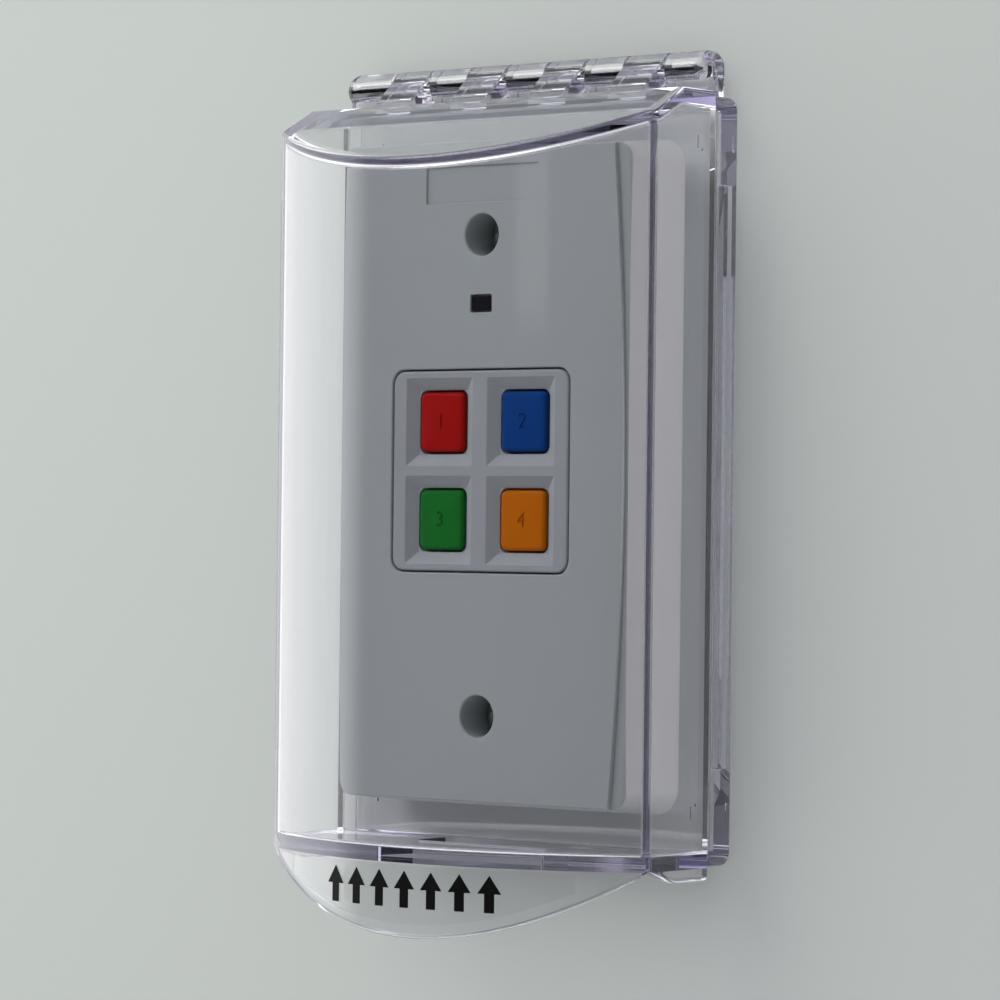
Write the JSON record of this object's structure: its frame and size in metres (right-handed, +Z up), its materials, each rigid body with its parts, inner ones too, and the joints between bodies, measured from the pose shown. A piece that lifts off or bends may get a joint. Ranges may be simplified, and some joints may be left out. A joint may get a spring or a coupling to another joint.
{
  "type": "panic button station",
  "caption": "Wall-mounted wireless panic button plate with coloured push buttons under a clear, top-hinged, bow-front lift cover.",
  "frame": {"origin": "on the wall plane, midway between the two box screws", "axes": "+Z up along the plate's long side, +Y into the wall along the box screws, +X to the right of a person facing the plate; the front faces -Y"},
  "size_m": [0.084, 0.0494, 0.1516],
  "materials": {
    "clear_cover": "clear polished polycarbonate with a faint violet edge",
    "white_shell": "light grey-white moulded plastic with a fine satin texture",
    "red_button": "satin red plastic",
    "blue_button": "satin blue plastic",
    "green_button": "satin green plastic",
    "orange_button": "satin orange plastic",
    "pin_steel": "bright drawn steel",
    "screw_steel": "zinc-plated steel",
    "label_film": "thin clear film",
    "dark_window": "dark smoked plastic",
    "lamp_plastic": "tinted clear plastic",
    "board_green": "green solder mask",
    "black_plastic": "black moulded plastic",
    "cell_steel": "nickel-plated steel",
    "tinned_metal": "tin-plated metal"
  },
  "bodies": {
    "station": {"base_frame": "clear_cover", "hinge_pin": "pin_steel", "housing_front": "white_shell", "rear_cover": "white_shell", "keypad_bezel": "white_shell", "led_window": "dark_window", "status_led": "lamp_plastic", "circuit_board": "board_green", "coin_cell": "cell_steel", "cell_tray": "black_plastic", "cell_clip": "tinned_metal", "radio_board": "board_green", "radio_can": "tinned_metal", "control_chip": "black_plastic", "crystal": "tinned_metal", "antenna": "tinned_metal", "board_screws": "screw_steel", "box_screws": "screw_steel", "switch_1": "black_plastic", "switch_2": "black_plastic", "switch_3": "black_plastic", "switch_4": "black_plastic"},
    "lid": {"cover": "clear_cover", "grip_label": "label_film"},
    "push_1": {"button_1": "red_button", "switch_plunger_1": "black_plastic"},
    "push_2": {"button_2": "blue_button", "switch_plunger_2": "black_plastic"},
    "push_3": {"button_3": "green_button", "switch_plunger_3": "black_plastic"},
    "push_4": {"button_4": "orange_button", "switch_plunger_4": "black_plastic"}
  },
  "joints": [
    {"name": "cover_hinge", "type": "hinge", "parent": "station", "child": "lid", "pos_m": [0, -0.0031, 0.0697], "axis": [-1, 0, 0], "range_deg": [0, 105]},
    {"name": "button_1_press", "type": "slide", "parent": "station", "child": "push_1", "axis": [0, 1, 0], "range_m": [0, 0.0008], "stiffness_N_per_m": 900},
    {"name": "button_2_press", "type": "slide", "parent": "station", "child": "push_2", "axis": [0, 1, 0], "range_m": [0, 0.0008], "stiffness_N_per_m": 900},
    {"name": "button_3_press", "type": "slide", "parent": "station", "child": "push_3", "axis": [0, 1, 0], "range_m": [0, 0.0008], "stiffness_N_per_m": 900},
    {"name": "button_4_press", "type": "slide", "parent": "station", "child": "push_4", "axis": [0, 1, 0], "range_m": [0, 0.0008], "stiffness_N_per_m": 900}
  ]
}
